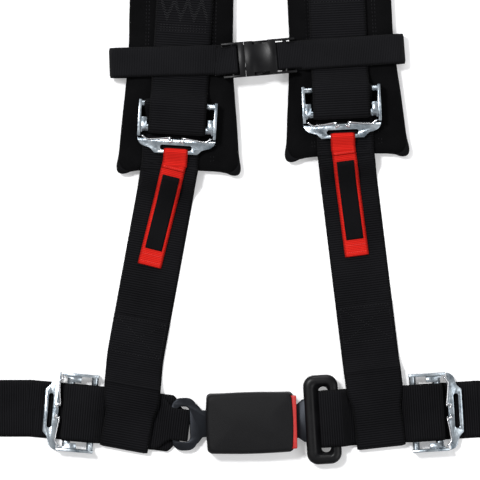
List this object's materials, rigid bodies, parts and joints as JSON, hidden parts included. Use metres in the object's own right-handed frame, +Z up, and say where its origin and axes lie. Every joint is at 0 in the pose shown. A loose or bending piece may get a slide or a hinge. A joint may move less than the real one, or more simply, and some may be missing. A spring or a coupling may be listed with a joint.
{
  "type": "racing harness",
  "caption": "Four-point harness laid flat: padded shoulder straps, slide adjusters, lap belt with end-release buckle, sternum strap.",
  "frame": {"origin": "middle of the harness's plan, on the surface it lies on", "axes": "+Z up from the surface, +Y towards the shoulder anchors, +X to the right seen from above"},
  "size_m": [0.882, 0.9413, 0.0274],
  "materials": {
    "webbing": "woven polyester, matt",
    "sternum_webbing": "woven polyester, matt",
    "pad_cloth": "coated cloth, matt",
    "foam": "closed-cell foam",
    "red_webbing": "woven polyester, matt",
    "patch": "sewn patch",
    "red_plastic": "moulded, satin",
    "moulded": "grained",
    "dark_steel": "blue-black oxide",
    "zinc_steel": "bright zinc plate"
  },
  "bodies": {
    "root": {"shoulder_strap_left": "webbing", "shoulder_strap_right": "webbing", "front_strap_left": "webbing", "front_strap_right": "webbing", "lap_strap_outer_left": "webbing", "lap_strap_outer_right": "webbing", "lap_strap_inner_left": "webbing", "lap_strap_inner_right": "webbing", "sternum_strap_left": "sternum_webbing", "sternum_strap_right": "sternum_webbing", "pad_cover_left": "pad_cloth", "pad_foam_left": "foam", "pad_cover_right": "pad_cloth", "pad_foam_right": "foam", "buckle_base": "moulded", "buckle_cover": "moulded", "buckle_frame": "dark_steel", "bail_plate": "dark_steel", "bail_rivet": "zinc_steel", "latch_pin": "zinc_steel", "latch_spring": "zinc_steel", "ejector_spring": "zinc_steel", "buckle_screws": "zinc_steel", "sternum_socket": "moulded"},
    "shoulder_adjuster_left": {"shoulder_frame_left": "zinc_steel", "shoulder_springs_left": "zinc_steel"},
    "shoulder_bar_left": {"shoulder_slide_bar_left": "zinc_steel"},
    "lap_adjuster_left": {"lap_frame_left": "zinc_steel", "lap_springs_left": "zinc_steel"},
    "lap_bar_left": {"lap_slide_bar_left": "zinc_steel"},
    "tab_left": {"pull_tab_left": "red_webbing", "tab_label_left": "patch"},
    "shoulder_anchor_left": {"shoulder_anchor_left": "zinc_steel"},
    "lap_anchor_left": {"lap_anchor_left": "zinc_steel"},
    "shoulder_adjuster_right": {"shoulder_frame_right": "zinc_steel", "shoulder_springs_right": "zinc_steel"},
    "shoulder_bar_right": {"shoulder_slide_bar_right": "zinc_steel"},
    "lap_adjuster_right": {"lap_frame_right": "zinc_steel", "lap_springs_right": "zinc_steel"},
    "lap_bar_right": {"lap_slide_bar_right": "zinc_steel"},
    "tab_right": {"pull_tab_right": "red_webbing", "tab_label_right": "patch"},
    "shoulder_anchor_right": {"shoulder_anchor_right": "zinc_steel"},
    "lap_anchor_right": {"lap_anchor_right": "zinc_steel"},
    "press_button": {"press_button": "red_plastic"},
    "latch": {"latch": "dark_steel"},
    "tongue": {"tongue_plate": "dark_steel", "tongue_cover": "moulded"},
    "ejector": {"ejector": "moulded"},
    "sternum_plug": {"sternum_plug": "moulded"}
  },
  "joints": [
    {"name": "shoulder_tilt_left", "type": "hinge", "parent": "root", "child": "shoulder_adjuster_left", "pos_m": [-0.064, -0.152, 0.0185], "axis": [-0.9981, 0.061, 0], "range_deg": [0, 30], "deforming": ["shoulder_strap_left"]},
    {"name": "shoulder_bar_slide_left", "type": "slide", "parent": "shoulder_adjuster_left", "child": "shoulder_bar_left", "axis": [0.061, 0.9981, 0], "range_m": [0, 0.0025], "stiffness_N_per_m": 500, "springref_m": -0.002, "deforming": ["shoulder_springs_left", "shoulder_strap_left"]},
    {"name": "lap_tilt_left", "type": "hinge", "parent": "root", "child": "lap_adjuster_left", "pos_m": [-0.141, -0.4265, 0.0047], "axis": [0.0872, 0.9962, 0], "range_deg": [0, 30], "deforming": ["lap_strap_inner_left"]},
    {"name": "lap_bar_slide_left", "type": "slide", "parent": "lap_adjuster_left", "child": "lap_bar_left", "axis": [0.9962, -0.0872, 0], "range_m": [0, 0.0025], "stiffness_N_per_m": 500, "springref_m": -0.002, "deforming": ["lap_springs_left", "lap_strap_inner_left"]},
    {"name": "tab_swing_left", "type": "hinge", "parent": "shoulder_adjuster_left", "child": "tab_left", "pos_m": [-0.06653, -0.19342, 0.0188], "axis": [-0.9981, 0.061, 0], "range_deg": [0, 90]},
    {"name": "shoulder_anchor_swing_left", "type": "hinge", "parent": "root", "child": "shoulder_anchor_left", "pos_m": [-0.02925, 0.41607, 0.0048], "axis": [0.9981, -0.061, 0], "range_deg": [0, 90]},
    {"name": "lap_anchor_swing_left", "type": "hinge", "parent": "root", "child": "lap_anchor_left", "pos_m": [-0.387, -0.42162, 0.0048], "axis": [0, 1, 0], "range_deg": [0, 90]},
    {"name": "shoulder_tilt_right", "type": "hinge", "parent": "root", "child": "shoulder_adjuster_right", "pos_m": [0.08, -0.138, 0.0185], "axis": [-0.999, -0.0436, 0], "range_deg": [0, 30], "deforming": ["shoulder_strap_right"]},
    {"name": "shoulder_bar_slide_right", "type": "slide", "parent": "shoulder_adjuster_right", "child": "shoulder_bar_right", "axis": [-0.0436, 0.999, 0], "range_m": [0, 0.0025], "stiffness_N_per_m": 500, "springref_m": -0.002, "deforming": ["shoulder_springs_right", "shoulder_strap_right"]},
    {"name": "lap_tilt_right", "type": "hinge", "parent": "root", "child": "lap_adjuster_right", "pos_m": [0.146, -0.4258, 0.0047], "axis": [0.061, -0.9981, 0], "range_deg": [0, 30], "deforming": ["lap_strap_inner_right"]},
    {"name": "lap_bar_slide_right", "type": "slide", "parent": "lap_adjuster_right", "child": "lap_bar_right", "axis": [-0.9981, -0.061, 0], "range_m": [0, 0.0025], "stiffness_N_per_m": 500, "springref_m": -0.002, "deforming": ["lap_springs_right", "lap_strap_inner_right"]},
    {"name": "tab_swing_right", "type": "hinge", "parent": "shoulder_adjuster_right", "child": "tab_right", "pos_m": [0.08181, -0.17946, 0.0188], "axis": [-0.999, -0.0436, 0], "range_deg": [0, 90]},
    {"name": "shoulder_anchor_swing_right", "type": "hinge", "parent": "root", "child": "shoulder_anchor_right", "pos_m": [0.05581, 0.41604, 0.0048], "axis": [0.999, 0.0436, 0], "range_deg": [0, 90]},
    {"name": "lap_anchor_swing_right", "type": "hinge", "parent": "root", "child": "lap_anchor_right", "pos_m": [0.387, -0.42238, 0.0048], "axis": [0, -1, 0], "range_deg": [0, 90]},
    {"name": "button_press", "type": "slide", "parent": "root", "child": "press_button", "axis": [-0.9997, -0.0262, 0], "range_m": [0, 0.0035], "stiffness_N_per_m": 600, "springref_m": -0.002},
    {"name": "latch_swing", "type": "hinge", "parent": "root", "child": "latch", "pos_m": [-0.007, -0.43421, 0.014], "axis": [0.0262, -0.9997, 0], "range_deg": [0, 10], "deforming": ["latch_spring"]},
    {"name": "tongue_slide", "type": "slide", "parent": "root", "child": "tongue", "axis": [0.9997, 0.0262, 0], "range_m": [0, 0.0009], "deforming": ["lap_strap_inner_right", "ejector_spring"]},
    {"name": "ejector_slide", "type": "slide", "parent": "root", "child": "ejector", "axis": [0.9997, 0.0262, 0], "range_m": [0, 0.0009], "deforming": ["ejector_spring"]},
    {"name": "sternum_release", "type": "slide", "parent": "root", "child": "sternum_plug", "axis": [-0.9962, -0.0872, 0], "range_m": [0, 0.026], "deforming": ["sternum_plug", "sternum_strap_left"]}
  ],
  "couplings": [
    {"joint": "latch_swing", "follows": "button_press", "rad_per_m": 48.869},
    {"joint": "ejector_slide", "follows": "tongue_slide", "ratio": 1}
  ]
}
